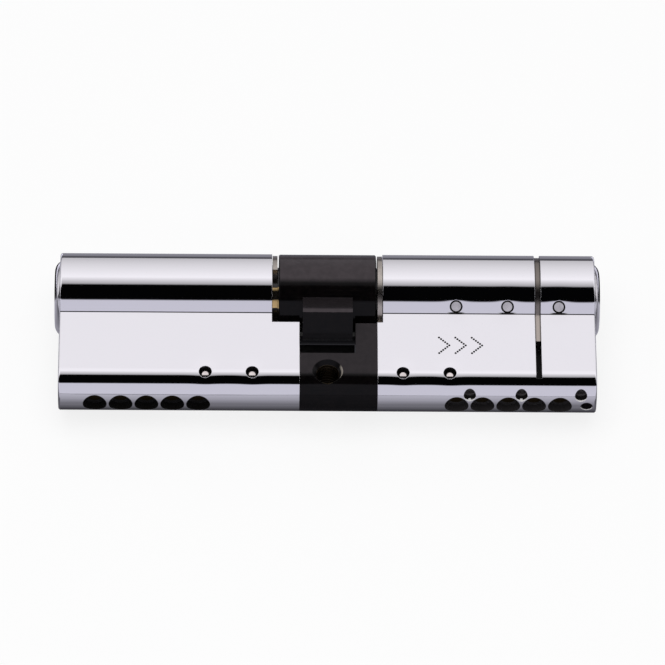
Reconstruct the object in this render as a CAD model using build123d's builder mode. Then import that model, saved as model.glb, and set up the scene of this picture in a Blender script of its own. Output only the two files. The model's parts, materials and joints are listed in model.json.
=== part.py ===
from build123d import *
from math import cos, pi, radians, sin, sqrt
import os

# Euro-profile double cylinder, keyed from both sides, with a snap-off outer end.
# +X runs along the plug axis to the outside of the door, +Y from the leg to the round part and
# +Z square to the flat of the leg. The origin is on the plug axis, level with the fixing screw.
# Millimetres throughout.

# Housing
BARREL_R = 8.5
LEG_HALF = 5.0
LEG_DROP = 24.5
FOOT_FLAT = 0.8
INSIDE_LENGTH = 50.0
OUTSIDE_LENGTH = 50.0
END_ROUND = 0.4

# Fits
RUN_FIT = 0.05
SLIP_FIT = 0.1
WALL = 0.4

# Cam and the space that it turns in
CAM_UNDER = 0.05
CAM_HALF = 9.1
RING_GAP = 1.25
NOTCH_CLEAR = 0.5
TONGUE_R = 14.3
TONGUE_WIDTH = 9.3
TONGUE_THICK = 6.5
TONGUE_TURN = 33.0
TONGUE_BEVEL = 0.6
TONGUE_SIDE_CLEAR = 0.55
TONGUE_TIP_CLEAR = 1.8
CAM_EDGE = 0.2
CAM_R = BARREL_R - CAM_UNDER
GAP_HALF = CAM_HALF + RING_GAP
NOTCH_DROP = CAM_R + NOTCH_CLEAR
SLOT_HALF = TONGUE_WIDTH / 2 + TONGUE_SIDE_CLEAR
SLOT_DROP = TONGUE_R + TONGUE_TIP_CLEAR

# Plugs
PLUG_R = 6.5
HEAD_R = 6.85
HEAD_SEAT = 1.5
HEAD_PROUD = 1.05
HEAD_RIM = 0.1
HEAD_CROWN = 1.75
TAIL_R = 6.0
TAIL_END = 6.0
KEYWAY_HALF = 1.2
KEYWAY_TOP = 4.6
KEYWAY_FOOT = 4.4
WARD_REACH = 0.8
WARD_HEIGHT = 1.2
WARD_SLOPE = 0.2
KEYWAY_LEAD = 0.25
BORE_R = PLUG_R + RUN_FIT

# Circlips
CLIP_UNDER = 0.3
CLIP_THICK = 0.9
CLIP_SEAT_R = 5.6
CLIP_OPENING = 100.0
CLIP_FACING = 44.0
CLIP_R = BARREL_R - CLIP_UNDER
CLIP_OUTER = GAP_HALF - SLIP_FIT
CLIP_INNER = CLIP_OUTER - CLIP_THICK

# Pin stacks
CHAMBER_END_INSET = 6.8
CHAMBER_PITCH = 4.8
CHAMBER_COUNT = 5
PIN_R = 1.5
KEY_PIN_LENGTHS = (3.0, 4.1, 3.5, 4.4, 2.8)
KEY_PIN_TIP_R = 0.6
KEY_PIN_TIP = 0.9
KEY_PIN_LIFT = 1.2
DRIVER_LENGTH = 4.5
DRIVER_WAIST_R = 1.1
DRIVER_COLLAR = 1.1
PIN_BEVEL = 0.15
STOPPER_LENGTH = 1.6
MOUTH_R = 2.2
MOUTH_DEPTH = 2.0
SPRING_R = 1.12
SPRING_WIRE_R = 0.17
SPRING_TURNS = 8
CHAMBER_R = PIN_R + RUN_FIT
KEY_PIN_SEAT = sqrt(PLUG_R**2 - PIN_R**2) - RUN_FIT
DRIVER_TOP = PLUG_R + SLIP_FIT
DRIVER_FOOT = DRIVER_TOP + DRIVER_LENGTH
STOPPER_FOOT = LEG_DROP - MOUTH_DEPTH
STOPPER_TOP = STOPPER_FOOT - STOPPER_LENGTH

# Bridge, its arms and the dowels that hold them
FIXING_DROP = 20.5
FIXING_TAP_R = 2.1
FIXING_MOUTH_R = 2.85
PILLAR = 4.1
BRIDGE_EDGE = 0.25
ARM_HEIGHT = 3.4
ARM_HALF = 3.2
DOWEL_R = 1.2
DOWEL_NEAR = 14.0
DOWEL_FAR_INSET = 1.3
DOWEL_SUNK = 0.55
DOWEL_DOME = 0.9
BRIDGE_OUTSIDE = SLOT_HALF + PILLAR
TANG_INNER = CHAMBER_R + 2 * SLIP_FIT

# Clutch inside the cam
DOG_HALF = 1.4
DOG_REACH = 5.4
DOG_ENGAGED = 1.5
DOG_LENGTH = 1.9
LUG_REACH = 7.2
COUPLER_R = 5.9
COUPLER_THICK = 2.6
COUPLER_SPACE = 2.7
SPIGOT_R = 1.6
SPIGOT_REACH = 1.8
CLUTCH_SPRING_R = 2.4
CLUTCH_SPRING_WIRE_R = 0.22
CLUTCH_SPRING_TURNS = 2
DOG_TIP = TAIL_END + DOG_ENGAGED
OUTSIDE_COUPLER_FACE = DOG_TIP - DOG_LENGTH
OUTSIDE_COUPLER_BACK = OUTSIDE_COUPLER_FACE - COUPLER_THICK
INSIDE_COUPLER_BACK = OUTSIDE_COUPLER_BACK - COUPLER_SPACE

# Outer end: snap groove, hardened pins and direction marks
SNAP_END_INSET = 10.75
SNAP_WIDTH = 1.1
SNAP_DEPTH = 0.4
SNAP_FADE_DROP = 12.85
SNAP_END_DROP = 21.5
SNAP_CORE_HALF = 1.9
DRILL_PIN_R = 1.15
DRILL_PIN_WALL = 0.45
DRILL_PIN_BEVEL = 0.2
DRILL_PIN_TURN = 44.5
LOWER_PIN_R = 1.05
LOWER_PIN_OFFSET = 2.5
LOWER_PIN_SUNK = 1.35
LOWER_PIN_LENGTH = 10.0
LOWER_PIN_END_INSET = 2.95
FOOT_PIN_END_INSET = 1.85
MARK_DROP = 14.2
MARK_X = 20.75
MARK_PITCH = 3.05
MARK_COUNT = 3
MARK_WIDTH = 1.9
MARK_HEIGHT = 3.6
MARK_STEPS = 5
MARK_R = 0.22
MARK_DEPTH = 0.12
SNAP_X = OUTSIDE_LENGTH - SNAP_END_INSET
DRILL_PIN_DEPTH = BARREL_R - BORE_R - DRILL_PIN_WALL

INSIDE = -1
OUTSIDE = 1
NAMES = {INSIDE: "inside", OUTSIDE: "outside"}
LENGTHS = {INSIDE: INSIDE_LENGTH, OUTSIDE: OUTSIDE_LENGTH}
LEG_ENDS = {INSIDE: SLOT_HALF, OUTSIDE: BRIDGE_OUTSIDE}
CHAMBER_STEPS = [CHAMBER_PITCH * (n - CHAMBER_COUNT) for n in range(1, CHAMBER_COUNT + 1)]
CHAMBER_XS = {
    side: [length - CHAMBER_END_INSET + step for step in CHAMBER_STEPS]
    for side, length in LENGTHS.items()
}
ARM_REACHES = {side: xs[0] - MOUTH_R - WALL for side, xs in CHAMBER_XS.items()}
DOWEL_FARS = {side: xs[0] - DOWEL_FAR_INSET for side, xs in CHAMBER_XS.items()}
TANG_REACHES = {side: far + DOWEL_R + WALL for side, far in DOWEL_FARS.items()}

os.makedirs("parts", exist_ok=True)


def across(side, distance):
    """Plane square to the plug axis on one side, seen by someone who faces that end, leg down."""
    return Plane(origin=(side * distance, 0, 0), x_dir=(0, 0, -side), z_dir=(side, 0, 0))


def under(drop):
    """Plane square to the leg at a drop below the plug axis; its x is X and its y is Z."""
    return Plane(origin=(0, -drop, 0), x_dir=(1, 0, 0), z_dir=(0, -1, 0))


def leg_outline():
    """Leg with its rounded foot, from the plug axis down."""
    with Locations((0, -LEG_DROP / 2)):
        RectangleRounded(2 * LEG_HALF, LEG_DROP, LEG_HALF - FOOT_FLAT / 2)


def euro_outline():
    """Keyhole-shaped section of the housing."""
    Circle(BARREL_R)
    leg_outline()


def foot_surface(offset):
    """Drop of the foot's skin below the plug axis, at an offset along Z from the middle."""
    corner = LEG_HALF - FOOT_FLAT / 2
    beyond = max(abs(offset) - FOOT_FLAT / 2, 0)
    return LEG_DROP - corner + sqrt(corner**2 - beyond**2)


def finish(piece, name):
    """Label a finished piece and write it out."""
    piece.part.label = name
    export_step(piece.part, f"parts/{name}.step")


def body_half(side):
    """One half of the housing with its bore, pin chambers, arm pocket and dowel holes."""
    length = LENGTHS[side]
    leg_end = LEG_ENDS[side]
    arm_reach = ARM_REACHES[side]
    dowel_far = DOWEL_FARS[side]
    with BuildPart() as half:
        with BuildSketch(across(side, GAP_HALF)):
            euro_outline()
        extrude(amount=length - GAP_HALF)
        outer_face = half.faces().filter_by(Axis.X).sort_by(Axis.X)[-1 if side > 0 else 0]
        fillet(outer_face.edges(), END_ROUND)
        # leg under the cam ring
        with BuildSketch(across(side, leg_end)):
            leg_outline()
            Rectangle(2 * BARREL_R, 2 * NOTCH_DROP, mode=Mode.SUBTRACT)
        extrude(amount=GAP_HALF - leg_end)
        # plug bore and the seat of the plug's head
        with BuildSketch(across(side, GAP_HALF)):
            Circle(BORE_R)
        extrude(amount=length - GAP_HALF, mode=Mode.SUBTRACT)
        with BuildSketch(across(side, length - HEAD_SEAT - SLIP_FIT)):
            Circle(HEAD_R + SLIP_FIT)
        extrude(amount=HEAD_SEAT + SLIP_FIT, mode=Mode.SUBTRACT)
        # pin chambers with their wider mouths in the foot
        chambers = [(side * x, 0) for x in CHAMBER_XS[side]]
        with BuildSketch(under(0)):
            with Locations(*chambers):
                Circle(CHAMBER_R)
        extrude(amount=LEG_DROP, mode=Mode.SUBTRACT)
        with BuildSketch(under(STOPPER_FOOT)):
            with Locations(*chambers):
                Circle(MOUTH_R)
        extrude(amount=MOUTH_DEPTH, mode=Mode.SUBTRACT)
        # pocket for the bridge's arm and the two tangs at its end
        with BuildSketch(across(side, leg_end)):
            with Locations((0, -FIXING_DROP)):
                Rectangle(2 * (ARM_HALF + RUN_FIT), ARM_HEIGHT + 2 * RUN_FIT)
        extrude(amount=arm_reach + RUN_FIT - leg_end, mode=Mode.SUBTRACT)
        with BuildSketch(across(side, arm_reach)):
            with Locations((0, -FIXING_DROP)):
                Rectangle(2 * (ARM_HALF + RUN_FIT), ARM_HEIGHT + 2 * RUN_FIT)
                Rectangle(2 * (TANG_INNER - RUN_FIT), 2 * ARM_HEIGHT, mode=Mode.SUBTRACT)
        extrude(amount=TANG_REACHES[side] + RUN_FIT - arm_reach, mode=Mode.SUBTRACT)
        # dowel holes: the near one goes through, the far ones stop at the tangs
        with BuildSketch(Plane.XY.offset(-LEG_HALF)):
            with Locations((side * DOWEL_NEAR, -FIXING_DROP)):
                Circle(DOWEL_R)
        extrude(amount=2 * LEG_HALF, mode=Mode.SUBTRACT)
        for face in (-1, 1):
            with BuildSketch(Plane.XY.offset(face * TANG_INNER)):
                with Locations((side * dowel_far, -FIXING_DROP)):
                    Circle(DOWEL_R)
            extrude(amount=face * (LEG_HALF - TANG_INNER), mode=Mode.SUBTRACT)
    return half


def plug(side):
    """Turning plug with head, circlip groove, tail, keyway, pin holes and the slot for the dog."""
    face = LENGTHS[side] + HEAD_PROUD
    rim = LENGTHS[side] + HEAD_RIM
    crown = HEAD_R - HEAD_CROWN
    back = LENGTHS[side] - HEAD_SEAT
    groove_outer = CLIP_OUTER + RUN_FIT
    groove_inner = CLIP_INNER - RUN_FIT
    profile = [
        (face, crown),
        (face, 0),
        (TAIL_END, 0),
        (TAIL_END, TAIL_R),
        (groove_inner, TAIL_R),
        (groove_inner, CLIP_SEAT_R),
        (groove_outer, CLIP_SEAT_R),
        (groove_outer, PLUG_R),
        (back, PLUG_R),
        (back, HEAD_R),
        (rim, HEAD_R),
    ]
    with BuildPart() as turned:
        with BuildSketch(Plane.XY):
            with BuildLine():
                Polyline(*[(side * x, r) for x, r in profile])
                TangentArc((side * face, crown), (side * rim, HEAD_R), tangent=(0, 1))
            make_face()
        revolve(axis=Axis.X)
        # keyway with one ward on each side
        right = KEYWAY_HALF - WARD_REACH
        upper = KEYWAY_TOP / 2
        lower = -KEYWAY_FOOT / 3
        with BuildSketch(across(side, face)) as keyway:
            with BuildLine():
                Polyline(
                    (-KEYWAY_HALF, -KEYWAY_FOOT),
                    (KEYWAY_HALF, -KEYWAY_FOOT),
                    (KEYWAY_HALF, lower),
                    (right, lower + WARD_SLOPE),
                    (right, lower + WARD_HEIGHT - WARD_SLOPE),
                    (KEYWAY_HALF, lower + WARD_HEIGHT),
                    (KEYWAY_HALF, KEYWAY_TOP),
                    (-KEYWAY_HALF, KEYWAY_TOP),
                    (-KEYWAY_HALF, upper),
                    (-right, upper - WARD_SLOPE),
                    (-right, upper - WARD_HEIGHT + WARD_SLOPE),
                    (-KEYWAY_HALF, upper - WARD_HEIGHT),
                    close=True,
                )
            make_face()
        extrude(amount=-(face - TAIL_END), mode=Mode.SUBTRACT)
        with BuildSketch(across(side, face - KEYWAY_LEAD)):
            with Locations((0, (KEYWAY_TOP - KEYWAY_FOOT) / 2)):
                Rectangle(2 * (KEYWAY_HALF + KEYWAY_LEAD), KEYWAY_TOP + KEYWAY_FOOT + 2 * KEYWAY_LEAD)
        extrude(amount=KEYWAY_LEAD, mode=Mode.SUBTRACT)
        # pin holes, from the side of the plug that faces the leg
        deepest = KEY_PIN_SEAT - max(KEY_PIN_LENGTHS) - KEY_PIN_LIFT - SLIP_FIT
        with BuildSketch(under(deepest)):
            with Locations(*[(side * x, 0) for x in CHAMBER_XS[side]]):
                Circle(CHAMBER_R)
        extrude(amount=PLUG_R - deepest, mode=Mode.SUBTRACT)
        # slot across the tail for the clutch's dog
        with BuildSketch(across(side, TAIL_END)):
            Rectangle(2 * (DOG_HALF + SLIP_FIT), 2 * PLUG_R)
        extrude(amount=DOG_ENGAGED + WALL, mode=Mode.SUBTRACT)
    return turned


def circlip(side, facing):
    """Open ring in the plug's groove; facing is the opening's angle from the flat towards the leg."""
    turn = radians(facing)
    half_open = radians(CLIP_OPENING / 2)
    far = 2 * CLIP_R
    with BuildPart() as ring:
        with BuildSketch(across(side, CLIP_INNER)):
            Circle(CLIP_R)
            Circle(CLIP_SEAT_R + RUN_FIT, mode=Mode.SUBTRACT)
            with BuildLine():
                Polyline(
                    (0, 0),
                    (-side * far * cos(turn - half_open), -far * sin(turn - half_open)),
                    (-side * far * cos(turn), -far * sin(turn)),
                    (-side * far * cos(turn + half_open), -far * sin(turn + half_open)),
                    close=True,
                )
            make_face(mode=Mode.SUBTRACT)
        extrude(amount=CLIP_THICK)
    return ring


def key_pin(side, x, length):
    """Key pin with its point towards the keyway."""
    top = KEY_PIN_SEAT - length
    profile = [
        (0, KEY_PIN_SEAT),
        (PIN_R - PIN_BEVEL, KEY_PIN_SEAT),
        (PIN_R, KEY_PIN_SEAT - PIN_BEVEL),
        (PIN_R, top + KEY_PIN_TIP),
        (KEY_PIN_TIP_R, top),
        (0, top),
    ]
    return turned_pin(side * x, profile)


def driver_pin(side, x):
    """Spool-shaped driver pin, just under the plug."""
    profile = [
        (0, DRIVER_TOP),
        (PIN_R - PIN_BEVEL, DRIVER_TOP),
        (PIN_R, DRIVER_TOP + PIN_BEVEL),
        (PIN_R, DRIVER_TOP + DRIVER_COLLAR),
        (DRIVER_WAIST_R, DRIVER_TOP + DRIVER_COLLAR),
        (DRIVER_WAIST_R, DRIVER_FOOT - DRIVER_COLLAR),
        (PIN_R, DRIVER_FOOT - DRIVER_COLLAR),
        (PIN_R, DRIVER_FOOT - PIN_BEVEL),
        (PIN_R - PIN_BEVEL, DRIVER_FOOT),
        (0, DRIVER_FOOT),
    ]
    return turned_pin(side * x, profile)


def turned_pin(x, profile):
    """Revolve a profile of (radius, drop) points about a chamber's axis."""
    with BuildPart() as pin:
        with BuildSketch(Plane.XY):
            with BuildLine():
                Polyline(*[(x + radius, -drop) for radius, drop in profile], close=True)
            make_face()
        revolve(axis=Axis((x, 0, 0), (0, 1, 0)))
    return pin


def coil(origin, along, start_dir, radius, wire_r, length, turns):
    """Helical spring between two flat seats, its wire laid in half-turn biarcs."""
    along = Vector(*along)
    u = Vector(*start_dir)
    v = along.cross(u)
    base = Vector(*origin) + along * wire_r
    rise = (length - 2 * wire_r) / turns
    speed = sqrt((2 * pi * radius) ** 2 + rise**2)
    steps = 2 * turns

    def at(step):
        angle = pi * step
        return base + (u * cos(angle) + v * sin(angle)) * radius + along * (rise * step / 2)

    def heading(step):
        angle = pi * step
        return ((v * cos(angle) - u * sin(angle)) * (2 * pi * radius) + along * rise) / speed

    with BuildPart() as spring:
        with BuildLine():
            for step in range(steps):
                start, end = at(step), at(step + 1)
                leave, arrive = heading(step), heading(step + 1)
                chord = end - start
                pull = chord.dot(leave + arrive)
                spread = 2 * (1 - leave.dot(arrive))
                reach = (sqrt(pull**2 + spread * chord.dot(chord)) - pull) / spread
                middle = (start + leave * reach + end - arrive * reach) / 2
                TangentArc(start, middle, tangent=leave)
                TangentArc(middle, end, tangent=end - arrive * reach - middle)
        with BuildSketch(Plane(origin=at(0), z_dir=heading(0))):
            Circle(wire_r)
        sweep()
    return spring


# Housing halves
inside_body = body_half(INSIDE)
finish(inside_body, "inside_body")

drill_axis = (0, -sin(radians(DRILL_PIN_TURN)), cos(radians(DRILL_PIN_TURN)))
drill_skin = Plane(
    origin=tuple(BARREL_R * part for part in drill_axis), x_dir=(1, 0, 0), z_dir=drill_axis
)
outside_xs = CHAMBER_XS[OUTSIDE]
drill_spots = [(x, 0) for x in outside_xs[::2]]
between = [(outside_xs[n] + outside_xs[n + 1]) / 2 for n in (0, 2)]
lower_spots = [(x, LOWER_PIN_OFFSET) for x in between]
lower_spots.append((OUTSIDE_LENGTH - LOWER_PIN_END_INSET, LOWER_PIN_OFFSET))
lower_spots.append((OUTSIDE_LENGTH - FOOT_PIN_END_INSET, 0))
mark_spots = []
for mark in range(MARK_COUNT):
    for step in range(-MARK_STEPS, MARK_STEPS + 1):
        mark_x = MARK_X + mark * MARK_PITCH + MARK_WIDTH * (1 - abs(step) / MARK_STEPS)
        mark_y = -MARK_DROP + step / MARK_STEPS * MARK_HEIGHT / 2
        mark_spots.append((mark_x, mark_y, LEG_HALF - MARK_DEPTH / 2))

outside_half = body_half(OUTSIDE)
with BuildPart() as outside_body:
    add(outside_half.part)
    # snap groove: shallow round the barrel, then a deep slot down each flat
    with BuildSketch(across(OUTSIDE, SNAP_X - SNAP_WIDTH / 2)):
        euro_outline()
        Circle(BARREL_R - SNAP_DEPTH, mode=Mode.SUBTRACT)
        with Locations((0, -LEG_DROP / 2)):
            Rectangle(2 * (LEG_HALF - SNAP_DEPTH), LEG_DROP, mode=Mode.SUBTRACT)
        with Locations((0, -SNAP_FADE_DROP - LEG_DROP / 2)):
            Rectangle(2 * BARREL_R, LEG_DROP, mode=Mode.SUBTRACT)
    extrude(amount=SNAP_WIDTH, mode=Mode.SUBTRACT)
    with BuildSketch(across(OUTSIDE, SNAP_X - SNAP_WIDTH / 2)):
        with Locations((0, -(SNAP_FADE_DROP + SNAP_END_DROP) / 2)):
            Rectangle(2 * BARREL_R, SNAP_END_DROP - SNAP_FADE_DROP)
            Rectangle(2 * SNAP_CORE_HALF, LEG_DROP, mode=Mode.SUBTRACT)
    extrude(amount=SNAP_WIDTH, mode=Mode.SUBTRACT)
    # holes for the ground pins in the barrel and the hardened pins in the foot
    with BuildSketch(drill_skin):
        with Locations(*drill_spots):
            Circle(DRILL_PIN_R + RUN_FIT)
    extrude(amount=-DRILL_PIN_DEPTH, mode=Mode.SUBTRACT)
    for x, offset in lower_spots:
        deepest = foot_surface(offset) - LOWER_PIN_SUNK - LOWER_PIN_LENGTH
        with BuildSketch(under(deepest)):
            with Locations((x, offset)):
                Circle(LOWER_PIN_R + RUN_FIT)
        extrude(amount=LEG_DROP - deepest, mode=Mode.SUBTRACT)
    # three chevrons of peened dots that point to the outside
    with Locations(*mark_spots):
        Cone(MARK_R / 8, MARK_R, MARK_DEPTH, mode=Mode.SUBTRACT)
finish(outside_body, "outside_body")

with BuildPart() as outside_drill_pins:
    with BuildSketch(drill_skin.offset(-DRILL_PIN_DEPTH)):
        with Locations(*drill_spots):
            Circle(DRILL_PIN_R)
    extrude(amount=sqrt(BARREL_R**2 - DRILL_PIN_R**2) - BARREL_R + DRILL_PIN_DEPTH)
    drill_ends = outside_drill_pins.faces().filter_by(drill_skin).group_by(Axis((0, 0, 0), drill_axis))[-1]
    chamfer(drill_ends.edges(), DRILL_PIN_BEVEL)
finish(outside_drill_pins, "outside_drill_pins")

with BuildPart() as outside_lower_pins:
    for x, offset in lower_spots:
        with BuildSketch(under(foot_surface(offset) - LOWER_PIN_SUNK - LOWER_PIN_LENGTH)):
            with Locations((x, offset)):
                Circle(LOWER_PIN_R)
        extrude(amount=LOWER_PIN_LENGTH)
finish(outside_lower_pins, "outside_lower_pins")

# Bridge: block under the cam with a pillar beside the tongue, an arm into each leg
with BuildPart() as bridge:
    with BuildSketch(across(OUTSIDE, -SLOT_HALF)):
        leg_outline()
        Rectangle(2 * BARREL_R, 2 * SLOT_DROP, mode=Mode.SUBTRACT)
    extrude(amount=2 * SLOT_HALF)
    with BuildSketch(across(OUTSIDE, SLOT_HALF)):
        leg_outline()
        Rectangle(2 * BARREL_R, 2 * NOTCH_DROP, mode=Mode.SUBTRACT)
    extrude(amount=PILLAR)
    pillar_top = bridge.faces().filter_by(Axis.Y).sort_by(Axis.Y)[-1]
    chamfer(pillar_top.edges(), BRIDGE_EDGE)
    for side in (INSIDE, OUTSIDE):
        with BuildSketch(across(side, LEG_ENDS[side])):
            with Locations((0, -FIXING_DROP)):
                Rectangle(2 * ARM_HALF, ARM_HEIGHT)
        extrude(amount=ARM_REACHES[side] - LEG_ENDS[side])
        with BuildSketch(across(side, ARM_REACHES[side])):
            with Locations((0, -FIXING_DROP)):
                Rectangle(2 * ARM_HALF, ARM_HEIGHT)
                Rectangle(2 * TANG_INNER, 2 * ARM_HEIGHT, mode=Mode.SUBTRACT)
        extrude(amount=TANG_REACHES[side] - ARM_REACHES[side])
        with BuildSketch(Plane.XY.offset(-LEG_HALF)):
            with Locations((side * DOWEL_NEAR, -FIXING_DROP), (side * DOWEL_FARS[side], -FIXING_DROP)):
                Circle(DOWEL_R)
        extrude(amount=2 * LEG_HALF, mode=Mode.SUBTRACT)
    with Locations((0, -FIXING_DROP, LEG_HALF)):
        CounterSinkHole(FIXING_TAP_R, FIXING_MOUTH_R, 2 * LEG_HALF, counter_sink_angle=90)
    with Locations(Plane.XY.offset(-LEG_HALF)):
        with Locations((0, -FIXING_DROP)):
            Cone(
                FIXING_MOUTH_R,
                FIXING_TAP_R,
                FIXING_MOUTH_R - FIXING_TAP_R,
                align=(Align.CENTER, Align.CENTER, Align.MIN),
                mode=Mode.SUBTRACT,
            )
finish(bridge, "bridge")

# Dowels: one through each arm, two short ones in its tangs, all with domed ends
for side in (INSIDE, OUTSIDE):
    skin = LEG_HALF - DOWEL_SUNK
    with BuildPart() as dowels:
        with BuildSketch(Plane.XY.offset(-skin)):
            with Locations((side * DOWEL_NEAR, -FIXING_DROP)):
                Circle(DOWEL_R - RUN_FIT)
        extrude(amount=2 * skin)
        for face in (-1, 1):
            with BuildSketch(Plane.XY.offset(face * TANG_INNER)):
                with Locations((side * DOWEL_FARS[side], -FIXING_DROP)):
                    Circle(DOWEL_R - RUN_FIT)
            extrude(amount=face * (skin - TANG_INNER))
        ends = dowels.faces().filter_by(Axis.Z).filter_by(lambda f: abs(f.center().Z) > ARM_HALF)
        fillet(ends.edges(), DOWEL_DOME)
    finish(dowels, f"{NAMES[side]}_dowel_pins")

# Plugs with their circlips; the inside clip opens towards the flat's front, the outside one away
inside_plug = plug(INSIDE)
finish(inside_plug, "inside_plug")
outside_plug = plug(OUTSIDE)
finish(outside_plug, "outside_plug")
inside_circlip = circlip(INSIDE, CLIP_FACING)
finish(inside_circlip, "inside_circlip")
outside_circlip = circlip(OUTSIDE, CLIP_FACING + 180)
finish(outside_circlip, "outside_circlip")

# Cam: ring on the plugs' tails, with the tongue and two inner slots for the clutch
cam_back = across(OUTSIDE, -CAM_HALF)
lean = radians(TONGUE_TURN)
tongue_back = Plane(
    origin=(-TONGUE_WIDTH / 2, 0, 0), x_dir=(0, -sin(lean), -cos(lean)), z_dir=(1, 0, 0)
)
with BuildPart() as cam:
    with BuildSketch(cam_back):
        Circle(CAM_R)
    extrude(amount=2 * CAM_HALF)
    chamfer(cam.edges().filter_by(GeomType.CIRCLE), CAM_EDGE)
    with BuildSketch(tongue_back) as tongue:
        with Locations((0, -TONGUE_R / 2)):
            Rectangle(TONGUE_THICK, TONGUE_R)
        Circle(TONGUE_R, mode=Mode.INTERSECT)
        chamfer(tongue.vertices().sort_by(Axis.Y)[:2], TONGUE_BEVEL)
    extrude(amount=TONGUE_WIDTH)
    with BuildSketch(cam_back):
        Circle(TAIL_R + RUN_FIT)
        Rectangle(2 * (DOG_HALF + SLIP_FIT), 2 * (LUG_REACH + SLIP_FIT))
    extrude(amount=2 * CAM_HALF, mode=Mode.SUBTRACT)
finish(cam, "cam")

# Clutch: two couplers that slide in the cam's slots, kept apart by a spring
with BuildPart() as outside_coupler:
    with BuildSketch(across(OUTSIDE, OUTSIDE_COUPLER_BACK)):
        Circle(COUPLER_R)
        Rectangle(2 * DOG_HALF, 2 * LUG_REACH)
    extrude(amount=COUPLER_THICK)
    with BuildSketch(across(OUTSIDE, OUTSIDE_COUPLER_FACE)):
        Rectangle(2 * DOG_HALF, 2 * DOG_REACH)
    extrude(amount=DOG_LENGTH)
    with BuildSketch(across(OUTSIDE, INSIDE_COUPLER_BACK - SPIGOT_REACH)):
        Circle(SPIGOT_R)
    extrude(amount=COUPLER_SPACE + SPIGOT_REACH)
finish(outside_coupler, "outside_coupler")

with BuildPart() as inside_coupler:
    with BuildSketch(across(INSIDE, -INSIDE_COUPLER_BACK)):
        Circle(COUPLER_R)
        Rectangle(2 * DOG_HALF, 2 * LUG_REACH)
    extrude(amount=COUPLER_THICK)
    with BuildSketch(across(INSIDE, COUPLER_THICK - INSIDE_COUPLER_BACK)):
        Rectangle(2 * DOG_HALF, 2 * DOG_REACH)
    extrude(amount=DOG_LENGTH)
    with BuildSketch(across(INSIDE, -INSIDE_COUPLER_BACK)):
        Circle(SPIGOT_R + RUN_FIT)
    extrude(amount=SPIGOT_REACH + SLIP_FIT, mode=Mode.SUBTRACT)
finish(inside_coupler, "inside_coupler")

coupler_spring = coil(
    (INSIDE_COUPLER_BACK, 0, 0),
    (1, 0, 0),
    (0, 1, 0),
    CLUTCH_SPRING_R,
    CLUTCH_SPRING_WIRE_R,
    COUPLER_SPACE,
    CLUTCH_SPRING_TURNS,
)
finish(coupler_spring, "coupler_spring")

# Pin stacks: key pin, driver pin, spring and stopper in each chamber
for side in (INSIDE, OUTSIDE):
    for number, x in enumerate(CHAMBER_XS[side], start=1):
        stack = f"{NAMES[side]}_{{}}_{number}"
        finish(key_pin(side, x, KEY_PIN_LENGTHS[number - 1]), stack.format("key_pin"))
        finish(driver_pin(side, x), stack.format("driver_pin"))
        spring = coil(
            (side * x, -STOPPER_TOP, 0),
            (0, 1, 0),
            (1, 0, 0),
            SPRING_R,
            SPRING_WIRE_R,
            STOPPER_TOP - DRIVER_FOOT,
            SPRING_TURNS,
        )
        finish(spring, stack.format("spring"))
    with BuildPart() as chamber_plugs:
        with BuildSketch(under(STOPPER_TOP)):
            with Locations(*[(side * x, 0) for x in CHAMBER_XS[side]]):
                Circle(CHAMBER_R)
        extrude(amount=STOPPER_LENGTH)
    finish(chamber_plugs, f"{NAMES[side]}_chamber_plugs")
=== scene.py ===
import json
from functools import reduce
from math import atan, cos, pi, radians, sin, sqrt

import bpy
from bpy.props import FloatProperty, FloatVectorProperty, IntProperty, PointerProperty
from mathutils import Matrix, Vector


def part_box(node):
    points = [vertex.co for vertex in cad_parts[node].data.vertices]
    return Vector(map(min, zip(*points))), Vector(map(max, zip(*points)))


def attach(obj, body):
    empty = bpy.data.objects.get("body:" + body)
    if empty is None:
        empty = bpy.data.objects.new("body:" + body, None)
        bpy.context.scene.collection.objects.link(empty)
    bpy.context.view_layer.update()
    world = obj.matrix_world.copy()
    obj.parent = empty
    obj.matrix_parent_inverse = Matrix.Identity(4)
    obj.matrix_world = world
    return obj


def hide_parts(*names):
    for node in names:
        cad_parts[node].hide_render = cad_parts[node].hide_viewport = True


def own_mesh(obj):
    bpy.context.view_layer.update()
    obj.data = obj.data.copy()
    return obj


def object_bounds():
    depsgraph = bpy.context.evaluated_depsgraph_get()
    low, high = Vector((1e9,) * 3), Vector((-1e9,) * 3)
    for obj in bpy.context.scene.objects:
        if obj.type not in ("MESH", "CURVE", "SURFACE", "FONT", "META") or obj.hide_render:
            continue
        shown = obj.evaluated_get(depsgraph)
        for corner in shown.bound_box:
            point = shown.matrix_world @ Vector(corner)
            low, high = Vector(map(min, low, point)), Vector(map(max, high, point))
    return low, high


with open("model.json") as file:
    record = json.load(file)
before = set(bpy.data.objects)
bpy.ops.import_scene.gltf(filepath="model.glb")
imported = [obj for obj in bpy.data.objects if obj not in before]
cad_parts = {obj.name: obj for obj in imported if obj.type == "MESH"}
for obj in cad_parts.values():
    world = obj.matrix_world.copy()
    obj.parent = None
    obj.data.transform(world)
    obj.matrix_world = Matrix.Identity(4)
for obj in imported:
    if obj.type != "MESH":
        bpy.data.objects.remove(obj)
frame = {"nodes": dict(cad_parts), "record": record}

bl_info = {
    "name": "Euro Lock Cylinder",
    "version": (1, 0, 0),
    "blender": (4, 5, 0),
    "location": "View3D > Sidebar > Lock",
    "description": "Finishes a euro-profile double lock cylinder and sets its studio",
    "category": "Object",
}

NODES = frame["nodes"]
CAD_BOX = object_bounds()
MM = 0.001
SIDES = ("inside", "outside")
STACK_COUNT = sum(name.startswith("outside_key_pin_") for name in NODES)


def middle(name):
    """Centre of a CAD node's box."""
    low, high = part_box(name)
    return (low + high) / 2


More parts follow.
